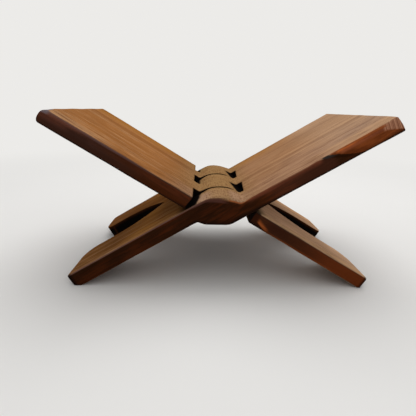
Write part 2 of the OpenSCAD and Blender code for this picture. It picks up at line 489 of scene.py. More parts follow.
def hollows(leaf, sizes, o, windows, s, y):
    """How far the upper face, the walls and the lower face lie in hollows, darkened as painted shade with
    some dirt (0 to 1).

    On the upper face painted shade lines the windows, and a painted shadow fills a wedge behind each
    knuckle's crown. The wedge starts straight across the outer leaf's knuckles, and on a slant across the
    inner leaf's. The walls in the arches and by the rear feet, and the lower face near the hinge, are
    darkened as painted shade too.
    """
    hole = window_distance(s, y, windows, o.land_s, o.window_top)
    rim = RIM_SHADE * np.exp(-((hole / RIM_REACH) ** 2))
    ahead = leaf.front * y
    to_front = np.mod((ahead + o.half_width) / o.pitch, 1.0)
    outermost = smooth_step(0.3, 1.0, to_front) * (ahead > o.half_width - o.pitch)
    rearmost = smooth_step(0.18, 0.0, to_front)
    straight = WEDGE_START + WEDGE_BACK_CORNER * rearmost - WEDGE_FRONT_CORNER * outermost
    slanting = SLANT_START - SLANT_DROP * to_front
    start = (straight if leaf.own == 0 else slanting) * MM
    wedge = smooth_step(*WEDGE_FADE, s - start) * smooth_step(*HOLLOW_LEAVES_LEG, s)
    wedge = wedge * smooth_step(*WEDGE_IN_FROM_SIDE, o.half_width - np.abs(y))
    beside, arch = arch_distance(leaf, sizes, o, s, y)
    in_arch = (arch < 1 * MM) & (s < -o.arch_tip + 1 * MM)
    by_arch = beside < sizes.arch_width / 2 + sizes.foot_inner
    rear_foot = (s < -o.leg_end + FOOT_SHADE_REACH) & (ahead < 0) & by_arch
    wall = np.where(in_arch | rear_foot | (hole < 0.3 * MM), 1.0, 0.0)
    low = LOW_SHADE * smooth_step(*HOLLOW_NEAR_HINGE, np.abs(s))
    return np.maximum(rim, wedge), wall, low


def hand_worked(points, sizes, seed):
    """Moves points by a few long sine waves in each direction, fading out round the hinge."""
    draw = np.random.default_rng(seed)
    waves = 2 * math.pi / (draw.uniform(*WAVE_LENGTHS, (3, WAVE_COUNT, 3)) * MM)
    waves = waves * draw.choice([-1.0, 1.0], (3, WAVE_COUNT, 3))
    phase = draw.uniform(0, 2 * math.pi, (3, WAVE_COUNT))
    moved = np.sin(np.einsum("pc,awc->paw", points, waves) + phase).sum(axis=2) / WAVE_COUNT
    fade = smooth_step(*UNEVEN_PAST_HINGE, np.abs(points[:, 0]))
    return points + sizes.unevenness * WAVE_GAIN * fade[:, None] * moved


def stand_up(points, leaf):
    """Turns a flat leaf up to its slope about the hinge axis, and half round for the inner leaf."""
    s, y, u = points.T
    x = s * math.cos(TILT) - u * math.sin(TILT)
    z = HINGE_HEIGHT + s * math.sin(TILT) + u * math.cos(TILT)
    return np.column_stack([leaf.turn * x, leaf.turn * y, np.maximum(z, 0.0)])


def leaf_lines(leaf, sizes, o):
    """Grid lines along and across a leaf, close together at every edge and over the knuckles."""
    r = sizes.edge_radius
    hole_r = sizes.window_radius
    legs = np.concatenate([
        crowd(-o.leg_end, 1, max(r, leaf.foot_top)),
        [-o.arch_tip, o.relief_s],
        crowd(o.land_s, -1, hole_r),
    ])
    board = np.concatenate([
        [o.lip_s + 1 * MM],
        crowd(o.window_top, 1, hole_r),
        [o.board_end - CHAMFER_LINE],
        crowd(o.board_end, -1, leaf.nose_top),
    ])

    def board_step(s):
        if s < o.window_top:
            return KNUCKLE_STEP
        return NOSE_STEP if s > o.board_end - NOSE_REACH else BOARD_STEP

    along = np.concatenate([filled(legs, lambda s: LEG_STEP), filled(board, board_step)])
    windows = leaf_windows(leaf, sizes, o)
    rims = np.concatenate([crowd(e, d, hole_r) for edges, d in zip(windows, (-1, 1)) for e in edges])
    rims = rims[(rims > 0) & (rims < o.half_width)]
    half = np.concatenate([crowd(0.0, 1, r), rims, crowd(o.half_width, -1, UPPER_FRONT * r)])
    half = filled(half, lambda y: CROSS_STEP if y < o.half_width - FRONT_REACH else FRONT_STEP)
    return along, half, windows


def leaf_plan(leaf, sizes, o, along, half):
    """Places s and y of the grid points on the flat.

    Past the arch's tip each half of the leaf is drawn aside by y = w + (W - w) * y0 / W, where w is the
    arch's half width and W the leaf's. Then the corners of the nose and the feet are rounded.
    """
    side = np.repeat([-1.0, 1.0], len(half))
    s, y = np.meshgrid(along, np.concatenate([-half[::-1], half]), indexing="ij")
    inner_y = arch_middle(s, leaf, o) + side * arch_half_width(s, sizes, o)
    y = inner_y + (side * o.half_width - inner_y) * np.abs(y) / o.half_width
    for edge in (-1, 1):
        foot_r = sizes.foot_outer * (FRONT_FOOT if edge == leaf.front else 1.0)
        s, y = round_plan_corner(s, y, (o.board_end, edge * o.half_width), (-1, -edge), leaf.corner)
        s, y = round_plan_corner(s, y, (-o.leg_end, edge * o.half_width), (1, -edge), foot_r)
        arch_side = leaf.arch_shift + edge * sizes.arch_width / 2
        s, y = round_plan_corner(s, y, (-o.leg_end, arch_side), (1, edge), sizes.foot_inner)
    return s, y


def leaf_cells(o, along, half, windows):
    """Marks the cells that are wood, and those of them with a relief in place of the leg's inner face."""
    flat_y = np.concatenate([-half[::-1], half])
    mid_s = (along[:-1] + along[1:]) / 2
    mid_y = (flat_y[:-1] + flat_y[1:]) / 2
    in_band = ((mid_y > windows[0][:, None]) & (mid_y < windows[1][:, None])).any(axis=0)
    in_gap = (mid_s > o.land_s) & (mid_s < o.window_top)
    kept = ~(in_gap[:, None] & in_band)
    kept[mid_s < -o.arch_tip, len(half) - 1] = False
    relieved = kept & in_band & ((mid_s > o.relief_s) & (mid_s < o.land_s))[:, None]
    return kept, relieved


def leaf_surface(leaf, sizes):
    """The closed surface of a leaf as points, faces and per-point values.

    The plan is a grid of s lines by y lines, with two lines at the middle and cells of no width between.
    Cells inside the windows and the arch are left out, and a wall stands on every edge between a kept
    cell and a missing one. The points lie in six layers: the top sheet, three rows of the walls, the
    under sheet and the reliefs.
    """
    o = leaf_outline(leaf, sizes)
    along, half, windows = leaf_lines(leaf, sizes, o)
    end_line = int(np.argmin(np.abs(along - o.land_s)))
    s, y = leaf_plan(leaf, sizes, o, along, half)
    kept, relieved = leaf_cells(o, along, half, windows)
    before_end = smooth_step(LEAN_STARTS, o.window_top, s)
    past_end = smooth_step(o.window_top + LEAN_FADES, o.window_top, s)
    near_end = np.where(s < o.window_top, before_end, past_end)
    low_s = s + (o.board_window - o.window_top) * near_end
    low_s[end_line] = o.lip_s
    shorter = leaf.rear_short * smooth_step(*REAR_FOOT_SHORTER, s) * (leaf.front * y < 0)
    skewed = s + leaf.window_skew * window_turn(leaf, o, y) * near_end

    fall, turned, cuts = edge_fall(leaf, sizes, o, windows, s, y, True)
    rise, turned_low, _ = edge_fall(leaf, sizes, o, windows, low_s, y, False)
    top = np.stack([skewed + shorter, y, top_profile(skewed, o) - fall], axis=-1)
    own_low = np.stack([low_s + shorter, y, under_profile(low_s, o) + rise], axis=-1)
    lower_r = LOWER_EDGE * sizes.edge_radius
    relief_rise = lower_r * roundover(o.half_width - np.abs(y), lower_r)
    relief_low = np.stack([low_s, y, relief_profile(low_s, o) + relief_rise], axis=-1)

    on_own = touched(kept & ~relieved)
    on_relief = touched(relieved)
    at_relief_end = np.zeros_like(on_own)
    at_relief_end[end_line] = True
    low = np.where((on_relief & ~on_own)[..., None], relief_low, own_low)
    split = (top + low) / 2
    split = np.where((on_relief & (on_own | at_relief_end))[..., None], relief_low, split)
    low = np.where((on_relief & ~on_own & at_relief_end)[..., None], split, low)
    layers = [top, (top + split) / 2, split, (split + low) / 2, low, relief_low]
    points = np.concatenate([layer.reshape(-1, 3) for layer in layers])

    wall = np.ones_like(turned)
    # Painted shade, with some dirt, in the hollows.
    top_hollow, wall_hollow, low_hollow = hollows(leaf, sizes, o, windows, s, y)
    marks = {
        "edge": [turned] + [wall] * 3 + [turned_low] * 2,
        "under": [0 * wall, 0.25 * wall, 0.5 * wall, 0.75 * wall, wall, wall],
        "hollow": [top_hollow] + [wall_hollow] * 3 + [low_hollow] * 2,
        "chamfer": [cuts[0]] + [0 * wall] * 5,
        "corner": [cuts[1]] + [0 * wall] * 5,
    }
    values = {key: np.concatenate([row.ravel() for row in mark]) for key, mark in marks.items()}
    return points, leaf_faces(kept, relieved, end_line), values


def leaf_faces(kept, relieved, end_line):
    """Faces over the six layers of points: the sheets, the walls and the steps up to the reliefs."""
    shape = (kept.shape[0] + 1, kept.shape[1] + 1)
    count = shape[0] * shape[1]
    index = np.arange(count).reshape(shape)
    has_width = np.arange(kept.shape[1]) != kept.shape[1] // 2
    own = kept & ~relieved
    start, stop, ends = wall_edges(index, kept, end_line)
    step_start, step_stop = step_edges(index, own, relieved)
    upper_rows = [(0, 1), (1, 2)]
    lower_rows = [(2, 3), (3, 4)]
    return np.concatenate([
        sheet_faces(index, kept & has_width),
        4 * count + sheet_faces(index, own & has_width)[:, ::-1],
        5 * count + sheet_faces(index, relieved & has_width)[:, ::-1],
        *wall_faces(start, stop, upper_rows, count),
        *wall_faces(start[~ends], stop[~ends], lower_rows, count),
        *wall_faces(step_start, step_stop, lower_rows, count),
    ])


def touched(cells):
    """Marks the grid points that are a corner of any of these cells."""
    marked = np.zeros((cells.shape[0] + 1, cells.shape[1] + 1), bool)
    marked[:-1, :-1] |= cells
    marked[1:, :-1] |= cells
    marked[:-1, 1:] |= cells
    marked[1:, 1:] |= cells
    return marked


def sheet_faces(index, cells):
    """One four-cornered face for each kept cell, facing up."""
    corners = [index[:-1, :-1], index[1:, :-1], index[1:, 1:], index[:-1, 1:]]
    return np.stack([c[cells] for c in corners], axis=-1)


def wall_edges(index, kept, end_line):
    """Edges between a kept cell and a missing one, wood on the left, and which of them end a leg window."""
    cells = np.pad(kept, 1)
    here, below = cells[1:-1, 1:], cells[1:-1, :-1]
    after, before = cells[1:, 1:-1], cells[:-1, 1:-1]
    runs = [
        (here & ~below, index[:-1], index[1:]),
        (below & ~here, index[1:], index[:-1]),
        (after & ~before, index[:, 1:], index[:, :-1]),
        (before & ~after, index[:, :-1], index[:, 1:]),
    ]
    starts = np.concatenate([first[mask] for mask, first, last in runs])
    stops = np.concatenate([last[mask] for mask, first, last in runs])
    columns = index.shape[1]
    ends = (starts // columns == end_line) & (stops // columns == end_line)
    return starts, stops, ends


def step_edges(index, own, relieved):
    """Edges along which the under sheet steps up from the leg's inner face to a relief."""
    left_own = own[:, :-1] & relieved[:, 1:]
    right_own = own[:, 1:] & relieved[:, :-1]
    inner = index[:, 1:-1]
    starts = np.concatenate([inner[1:][left_own], inner[:-1][right_own]])
    stops = np.concatenate([inner[:-1][left_own], inner[1:][right_own]])
    return starts, stops


def wall_faces(start, stop, rows, count):
    """Faces of a wall between pairs of point rows, facing out."""
    return [
        np.stack([start + b * count, stop + b * count, stop + a * count, start + a * count], axis=-1)
        for a, b in rows
    ]


def leaf_object(name, leaf, sizes):
    """Makes the mesh object of a leaf: its surface worked by hand, stood up and welded along its seams."""
    points, faces, values = leaf_surface(leaf, sizes)
    used, faces = np.unique(faces, return_inverse=True)
    faces = faces.reshape(-1, 4)
    placed = stand_up(hand_worked(points[used], sizes, leaf.seed), leaf)
    mesh = bpy.data.meshes.new(name)
    mesh.from_pydata(placed, [], faces)
    for key, value in values.items():
        layer = mesh.attributes.new(key, "FLOAT", "POINT")
        layer.data.foreach_set("value", value[used].astype(np.float32))
    work = bmesh.new()
    work.from_mesh(mesh)
    bmesh.ops.remove_doubles(work, verts=work.verts, dist=WELD_REACH)
    bmesh.ops.dissolve_degenerate(work, edges=work.edges, dist=SLIVER_REACH)
    open_edges = sum(1 for edge in work.edges if len(edge.link_faces) != 2)
    volume = work.calc_volume(signed=True)
    work.to_mesh(mesh)
    work.free()
    if open_edges or volume <= 0:
        raise RuntimeError(f"{name} isn't a closed shell: {open_edges} open edges, volume {volume:.6f}")
    mesh.shade_smooth()
    mesh.set_sharp_from_angle(angle=SHARP_ANGLE)
    made = bpy.data.objects.new(name, mesh)
    bpy.context.scene.collection.objects.link(made)
    return made


class Ramp(NamedTuple):
    """A share that changes smoothly from start at low to stop at high."""

    low: float
    high: float
    start: float = 0.0
    stop: float = 1.0


class Stretch(NamedTuple):
    """A share that rises from 0 at open to its height at opened, and falls back from closing to closed."""

    open: float
    opened: float
    closing: float
    closed: float
    height: float = 1.0


class Layer:
    """A paint laid over the wood where all its spans over named fields are open.

    Parts are further products of spans. Where a layer has any, their sum shows within its spans.
    """

    def __init__(self, name, paint, *parts, **spans):
        self.name = name
        self.paint = paint
        self.parts = parts
        self.spans = spans


class NodeBench:
    """Adds shader nodes to a tree. An input is a socket to link or a value to set."""

    def __init__(self, tree):
        self.tree = tree
        tree.nodes.clear()

    def add(self, kind, inputs=(), **settings):
        node = self.tree.nodes.new("ShaderNode" + kind)
        for key, value in settings.items():
            setattr(node, key, value)
        for key, value in dict(inputs).items():
            if isinstance(value, bpy.types.NodeSocket):
                self.tree.links.new(value, node.inputs[key])
            else:
                node.inputs[key].default_value = value
        return node

    def math(self, operation, a, b=0.0, clamp=False):
        return self.add("Math", {0: a, 1: b}, operation=operation, use_clamp=clamp).outputs[0]

    def vector(self, operation, a, b):
        return self.add("VectorMath", {0: a, 1: b}, operation=operation).outputs[0]

    def noise(self, place, scale, detail=3.0, roughness=0.55):
        stretched = self.vector("MULTIPLY", place, scale)
        inputs = {"Vector": stretched, "Scale": 1.0, "Detail": detail, "Roughness": roughness}
        return self.add("TexNoise", inputs).outputs["Fac"]

    def bands(self, place, scale, detail=2.0):
        inputs = {"W": self.math("MULTIPLY", place, scale), "Scale": 1.0, "Detail": detail}
        return self.add("TexNoise", inputs, noise_dimensions="1D").outputs["Fac"]

    def ramp(self, value, low, high, start=0.0, stop=1.0):
        inputs = {"Value": value, "From Min": low, "From Max": high, "To Min": start, "To Max": stop}
        return self.add("MapRange", inputs, interpolation_type="SMOOTHSTEP").outputs[0]

    def mix(self, share, a, b, label=""):
        inputs = {"Factor": share}
        for key, value in {6: a, 7: b}.items():
            inputs[key] = value if isinstance(value, bpy.types.NodeSocket) else (*value, 1.0)
        return self.add("Mix", inputs, data_type="RGBA", label=label).outputs[2]

    def finish(self, kind, shader):
        output = self.add(kind)
        self.tree.links.new(shader.outputs[0], output.inputs["Surface"])


class WoodBench(NodeBench):
    """A bench with named fields over a leaf and mixed paints, which lays paints where spans are open."""

    def __init__(self, tree, colours):
        super().__init__(tree)
        self.colours = colours
        self.fields = {}
        self.paints = {}

    def share(self, field, span):
        """The share of one span, or of a tuple of spans. A bare number weighs the field itself."""
        if isinstance(span, Ramp):
            return self.ramp(field, *span)
        if isinstance(span, Stretch):
            opening = self.ramp(field, span.open, span.opened, 0.0, span.height)
            return self.math("MULTIPLY", opening, self.ramp(field, span.closed, span.closing))
        if isinstance(span, tuple):
            return self.joined("MULTIPLY", [self.share(field, one) for one in span])
        return field if span == 1 else self.math("MULTIPLY", field, span)

    def joined(self, operation, values, clamp=False):
        """The values joined in turn by one operation."""
        result = values[0]
        for value in values[1:]:
            result = self.math(operation, result, value, clamp)
        return result

    def within(self, part):
        """Product of a part's spans."""
        return self.joined("MULTIPLY", [self.share(self.fields[name], span) for name, span in part.items()])

    def either(self, parts):
        """The largest of several parts."""
        return self.joined("MAXIMUM", [self.within(part) for part in parts])

    def weighed(self, weights):
        """Weighted sum of fields."""
        return self.joined("ADD", [self.share(self.fields[name], weight) for name, weight in weights.items()])

    def paint(self, paint):
        """A mixed paint or a colour by its name, or a weighted sum of named colours."""
        if paint in self.paints:
            return self.paints[paint]
        weights = {paint: 1.0} if isinstance(paint, str) else dict(paint)
        mixed = sum(weight * np.array(getattr(self.colours, name)) for name, weight in weights.items())
        return tuple(mixed)

    def lay(self, base, layers):
        """Lays each layer's paint over the base in turn."""
        wood = self.paint(base)
        for layer in layers:
            shown = self.within(layer.spans)
            if layer.parts:
                total = self.joined("ADD", [self.within(part) for part in layer.parts], clamp=True)
                shown = self.math("MULTIPLY", total, shown)
            wood = self.mix(shown, wood, self.paint(layer.paint), layer.name)
        return wood


def blend(**weights):
    """A paint that is a weighted sum of named colours."""
    return tuple(weights.items())


# Fields, paints and layers of the wood. Lengths s, ahead and u are in millimetres, and ahead grows towards
# the front. Edge is 0 on a broad face and 1 on a narrow one, and under is 0 on top and 1 below.
CROWN_TOP = dict(s=Stretch(-13, 2, 21, 27), under=Ramp(0.10, 0.0))
MASKS = dict(
    front_rim=[dict(ahead=Ramp(96.5, 98.5))],
    front=[dict(ahead=Ramp(97.5, 99.3), edge=Ramp(0.45, 0.85))],
    arris=[dict(edge=Stretch(0.04, 0.16, 0.70, 1.0), ahead=Ramp(90, 94), under=Ramp(0.30, 0.05))],
    turned=[dict(edge=Ramp(0.10, 0.55))],
    # Shaded marks the narrow faces and undersides that take the dark edge colour, partly as painted shade.
    shaded=[dict(turned=1), dict(under=0.65)],
    leg_top=[dict(s=Ramp(-20, -45), ahead=Ramp(-20, 20, 0.35, 0.9))],
    pink_end=[dict(s=Ramp(2, -10, 0.35, 1.2)), dict(s=Ramp(10, 18))],
)
NARROW_LAYERS = (
    Layer("fibres", "streak", fibre=Ramp(0.35, 0.75, 0.0, 0.22)),
    Layer("red-brown patches", "russet", blotch=Ramp(0.46, 0.66), ticks=Ramp(0.42, 0.60, 0.15, 0.8)),
    Layer("black patches", "grime", blotch=Ramp(0.46, 0.34, 0.0, 0.65)),
)
CROWN_LAYERS = (
    Layer("pink crown", "rose", knuckle=1, ahead=Ramp(60, 80, 0.0, 0.60), pink_end=1),
    Layer("blotches", "streak", blotch=Ramp(0.42, 0.68, 0.0, 0.30), knuckle=Ramp(0.3, 1.0, 1.0, 0.3)),
)
LAST_FACE_LAYERS = (
    Layer("rasped crown", "streak", knuckle=1, cross=Ramp(0.48, 0.62, 0.0, 0.50)),
    Layer("pores", "edge", pores=0.40),
    # Narrow faces and undersides darkened, partly as painted shade.
    Layer("narrow faces", "narrow", shaded=1),
)
LAST_LAYERS = (
    Layer("foot end", "grime", front_rim=1, s=Ramp(-174.5, -179.0, 0.0, 0.8)),
    # Painted shade, with some dirt, in the hollows.
    Layer("hollows", "grime", hollow=1),
)
PALE_ON_CROWN = Ramp(0.3, 1.0, 1.0, 0.35)
DARK_ON_CROWN = Ramp(0.3, 1.0, 1.0, 0.45)
FINE_STREAKS = (dict(fine=Ramp(0.52, 0.72, 0.0, 0.25)), dict(fibre=Ramp(0.48, 0.75, 0.0, 0.30)))
DARK_TICKS = Ramp(0.51, 0.64)
DARK_BANDS_ALONG = Ramp(30, 110, 0.55, 1.0)
BACK_LESS_DARK = Ramp(-60, 50, 0.60, 1.0)
LEG_LESS_DARK = Ramp(-40, -20, 0.62, 1.0)

OUTER_LOOK = SimpleNamespace(
    grain_shift=(0.31, 0.07, 0.02),
    pith=(0.0, 0.145, -0.055),
    sums=dict(slant=dict(s=1, u=2.2, ticks=12)),
    stripes=dict(end_stripes=(dict(s=1, ahead=0.67), 0.9)),
    masks=dict(
        knuckle=[dict(s=Stretch(-30, -14, 16, 55))],
        red_rim=[dict(arris=1), dict(front=1, u=Ramp(-9.0, -4.5))],
    ),
    paints=dict(
        bared=("glow", [
            Layer("bared streaks", "russet", ticks=Ramp(0.40, 0.62, 0.35, 0.85)),
            Layer("bared lower side", "edge", u=Ramp(-13.5, -18.5, 0.0, 0.55)),
        ]),
        sliver=("bark", [
            Layer("sliver's end", "edge", u=Ramp(-4.5, -8.0)),
        ]),
        cut=(blend(glow=1.6), [
            Layer("cut streaks", "russet", ticks=Ramp(0.38, 0.64, 0.0, 0.5)),
            Layer("cut by the corner", "russet", s=Ramp(155, 175, 0.0, 0.55)),
            Layer("cut's lower side", blend(russet=1, arris=0.3), u=Ramp(-4.0, -6.2, 0.0, 0.66)),
        ]),
        end_grain=(blend(glow=0.50, rose=0.66), [
            Layer("growth rings", "russet", end_stripes=Ramp(0.40, 0.62, 0.0, 0.70)),
        ]),
    ),
    face=(
        # The grey board and the warm middle are partly painted cool and warm light.
        Layer("grey board", "grey_face", s=Ramp(-40, 60)),
        Layer("warm middle", blend(grey_face=0.55, warm_face=0.45), s=Stretch(0, 30, 100, 160)),
        Layer("amber back", "amber", ahead=Ramp(-45, -95, 0.0, 0.75), s=Ramp(150, 60)),
        Layer("golden knuckles", "gold_face", knuckle=1),
        Layer("rosy front", "rose", ahead=Ramp(35, 90, 0.0, 0.45), s=Ramp(30, 60)),
        # Painted grey reflection along the right board.
        Layer(
            "painted grey reflection along the board", "sheen", ahead=Stretch(0, 40, 66, 82), s=Ramp(60, 120),
            blotch=Ramp(0.36, 0.60, 0.10, 0.30),
        ),
        # The golden leg is partly painted warm light.
        Layer("golden leg", "old_gold", leg_top=1),
        Layer("leg towards the foot", "streak", s=Ramp(-55, -135, 0.0, 0.76)),
        # Painted shade on the leg top where the board above shadows it.
        Layer("painted shade on the leg under the board", "streak", leg_top=1, s=Ramp(-90, -58, 0.0, 0.60)),
        *CROWN_LAYERS,
        Layer(
            "pale streaks", "pale",
            dict(broad=Ramp(0.52, 0.38, 0.0, 0.22)),
            dict(ticks=Ramp(0.48, 0.32, 0.0, 0.34)),
            dict(ahead=Ramp(66, 86, 0.0, 0.30), s=Ramp(100, 150)),
            knuckle=PALE_ON_CROWN, ahead=Ramp(-65, 5, 0.3, 1.0),
        ),
        Layer(
            "dark streaks", "streak",
            dict(ticks=DARK_TICKS, ahead=(Ramp(35, 82, 0.14, 0.42), BACK_LESS_DARK)),
            dict(broad=Ramp(0.50, 0.66, 0.0, 0.28), s=DARK_BANDS_ALONG, ahead=BACK_LESS_DARK),
            *FINE_STREAKS, knuckle=DARK_ON_CROWN,
        ),
        Layer("darker back", "streak", ahead=Stretch(-85, -45, -30, 0, 0.18), s=Ramp(10, 50)),
        *LAST_FACE_LAYERS,
    ),
    details=(
        # Painted shade on the front face under the knuckle.
        Layer("painted shade under the knuckle", "grime", front=1, s=Ramp(45, 20, 0.0, 0.34)),
        Layer("red front", blend(russet=0.75, arris=0.3), front=0.30, s=Stretch(40, 65, 120, 130)),
        Layer("bared front", "bared", front_rim=0.85, slant=Ramp(118.5, 121.0)),
        Layer(
            "red line", blend(russet=1.25, arris=0.25), red_rim=1, s=Stretch(24, 36, 108, 115),
            ticks=Ramp(0.34, 0.60, 0.55, 0.95),
        ),
        # Painted orange highlight on the rounded edge in the valley.
        Layer(
            "painted highlight in the valley", "glow", arris=0.75, s=Stretch(10, 14, 26, 36),
            edge=Stretch(0.20, 0.29, 0.36, 0.46),
        ),
        # Painted sheen along the crown's rounded front edge.
        Layer(
            "painted sheen on the crown's edge", blend(russet=0.5, arris=0.35), arris=0.90, s=Stretch(-30, -18, 4, 12),
            edge=Ramp(0.04, 0.10),
        ),
        # Painted sheen along the leg's rounded front edge.
        Layer(
            "painted sheen on the leg's edge", blend(russet=0.5, arris=1.2), arris=0.85, edge=Stretch(0.03, 0.09, 0.32, 0.55),
            s=Ramp(-12, -26),
        ),
        Layer(
            "dark sliver", "sliver", front_rim=1, slant=Stretch(111.0, 113.0, 118.0, 120.5),
            u=Ramp(-17.0, -11.0, 0.45, 1.0),
        ),
        Layer("chamfer", "cut", chamfer=1),
        Layer("corner facet", "end_grain", corner=0.95),
        # Painted shade along the lower edge of the front.
        Layer("painted shade on the lower edge", "grime", front_rim=1, u=Ramp(-15.5, -17.8, 0.0, 0.75), s=Ramp(30, 60)),
    ),
)

INNER_LOOK = SimpleNamespace(
    grain_shift=(1.27, 0.11, 0.05),
    pith=(0.0, 0.02, -0.060),
    sums=dict(above=dict(u=1, s=-0.385)),
    stripes=dict(leg_stripes=(dict(ahead=1), 0.21)),
    masks=dict(
        knuckle=[dict(s=Stretch(-30, -14, 16, 78))],
        # Where painted shade falls on the leg's end under the crown.
        smoked=[dict(s=Stretch(-40, -36, -10, -5)), dict(above=Ramp(24.2, 22.8), s=Ramp(-64, -52))],
    ),
    paints={},
    face=(
        # The grey hinge side is partly painted cool light.
        Layer("grey hinge", "grey_face", s=Ramp(65, -30)),
        Layer("amber back", "amber", ahead=Ramp(-45, -95, 0.0, 0.75)),
        Layer("golden knuckles", "gold_face", knuckle=1),
        # The tan leg is pale partly as painted light from the right.
        Layer("tan leg", "pale_tan", leg_top=1),
        Layer("leg stripes", "gold_face", leg_stripes=Ramp(0.45, 0.62, 0.0, 0.25), leg_top=1),
        *CROWN_LAYERS,
        Layer(
            "pale streaks", "pale",
            dict(broad=Ramp(0.52, 0.38, 0.0, 0.15)),
            dict(ticks=Ramp(0.48, 0.32, 0.0, 0.38)),
            dict(ahead=Ramp(70, 88, 0.0, 0.42), s=Ramp(110, 160)),
            # The pale band along the right leg's front edge is a painted sheen.
            dict(ahead=Ramp(80, 88, 0.0, 0.60), s=Ramp(-20, -40)),
            knuckle=PALE_ON_CROWN, ahead=Ramp(-85, -30, 0.3, 1.0),
        ),
        Layer(
            "dark streaks", "streak",
            dict(ticks=DARK_TICKS, ahead=Ramp(35, 82, 0.14, 0.50), s=LEG_LESS_DARK),
            dict(broad=Ramp(0.50, 0.66, 0.0, 0.22), s=(DARK_BANDS_ALONG, LEG_LESS_DARK)),
            dict(s=Stretch(18, 30, 60, 105, 0.14)),
            dict(s=Stretch(18, 28, 36, 56), ahead=Ramp(30, 70, 0.0, 0.20)),
            *FINE_STREAKS, knuckle=DARK_ON_CROWN,
        ),
        *LAST_FACE_LAYERS,
    ),
    details=(
        Layer(
            "red hinge end", "russet", front=1, s=(Ramp(145, 60, 0.0, 0.7), Ramp(-20, 20)),
            ticks=Ramp(0.36, 0.58, 0.15, 0.85),
        ),
        Layer(
            "red nose", "russet", front=1, s=Ramp(150, 180), u=Ramp(-14.5, -11.5),
            ticks=Ramp(0.36, 0.58, 0.15, 0.85),
        ),
        # Darker towards the bottom of the front face.
        Layer(
            "front darker towards the bottom", blend(bark=0.42), front=1, s=Stretch(70, 100, 190, 205),
            u=Ramp(-8.5, -12.5, 0.12, 0.72),
        ),
        Layer(
            "plum front", "arris", front=1, s=Ramp(100, 165, 0.05, 0.26), u=Ramp(-14.0, -10.0, 0.25, 1.0),
        ),
        Layer(
            "sooty patch", blend(bark=0.42), front=1, s=Stretch(142, 152, 164, 174),
            u=Ramp(-15.0, -12.0, 0.15, 0.60),
        ),
        Layer(
            "lower hinge end", "edge", front=1, s=Stretch(15, 40, 80, 110), u=Ramp(-8.5, -14.0, 0.0, 0.62),
        ),
        # Painted sheen along the rounded front edge.
        Layer("painted sheen on the front edge", blend(russet=0.25, arris=0.85), arris=1, s=Ramp(60, 120, 0.14, 0.80)),
        # Painted rosy sheen along the rounded front edge by the nose.
        Layer(
            "painted rosy sheen on the edge", blend(glow=0.35, arris=0.65), front_rim=1, turned=1, u=Ramp(-8.5, -5.5),
            s=Ramp(140, 170, 0.0, 0.60),
        ),
        # Painted orange highlight on the leg's end.
        Layer(
            "painted highlight on the leg end", "glow", front=1, s=Stretch(-56, -49, -41, -37),
            above=Stretch(23.2, 24.6, 25.8, 29.5), ticks=Ramp(0.36, 0.60, 0.50, 0.90),
        ),
        # Painted shade on the leg's end under the crown.
        Layer("painted shade on the leg end", "grime", smoked=0.88, front_rim=1, s=Ramp(-5, -10)),
        # Painted highlight on the rounded nose.
        Layer(
            "painted sheen on the nose", "sheen", s=Ramp(189.0, 193.5), edge=Stretch(0.01, 0.06, 0.70, 1.0, 0.85),
            under=Ramp(0.20, 0.0), ahead=Ramp(74, 86),
        ),
        Layer("red leg", blend(russet=1.3), front=1, s=Ramp(-80, -155, 0.19, 0.95)),
        Layer(
            "leg's lower line", "glow", front_rim=0.24, s=Stretch(-150, -130, -60, -45),
            u=Stretch(3.0, 4.2, 5.2, 6.8),
        ),
        # Painted shade along the lower edge of the front.
        Layer("painted shade on the lower edge", "grime", front_rim=1, u=Ramp(-16.0, -18.0, 0.0, 0.7), s=Ramp(30, 60)),
    ),
)


def wood_grain(bench, place, look):
    """Growth rings about a line along the leaf, fibres, ticks, pores and blotches as a solid texture."""
    shifted = bench.vector("ADD", place, look.grain_shift)
    wander = bench.noise(shifted, (5.0, 16.0, 16.0), detail=2.0)
    wander = bench.math("SUBTRACT", wander, 0.5)
    sway = bench.add("CombineXYZ", {"X": 0.0, "Y": wander, "Z": wander}).outputs[0]
    grain = bench.vector("ADD", shifted, bench.vector("MULTIPLY", sway, (0.0, 0.016, 0.010)))
    parts = bench.add("SeparateXYZ", {"Vector": bench.vector("SUBTRACT", grain, look.pith)})
    ring_y = bench.math("POWER", parts.outputs["Y"], 2.0)
    ring_u = bench.math("POWER", parts.outputs["Z"], 2.0)
    ring = bench.math("SQRT", bench.math("ADD", ring_y, ring_u))
    return dict(
        broad=bench.bands(ring, 65.0, detail=3.0),
        fine=bench.bands(ring, 560.0),
        fibre=bench.noise(grain, (20.0, 900.0, 900.0), detail=5.0, roughness=0.68),
        ticks=bench.noise(grain, (30.0, 290.0, 290.0), detail=4.5, roughness=0.66),
        pores=bench.ramp(bench.noise(grain, (85.0, 1700.0, 1700.0), detail=2.0), 0.60, 0.74),
        blotch=bench.noise(shifted, (9.0, 18.0, 18.0), detail=3.0),
        cross=bench.noise(shifted, (640.0, 150.0, 640.0), detail=3.0, roughness=0.65),
    )


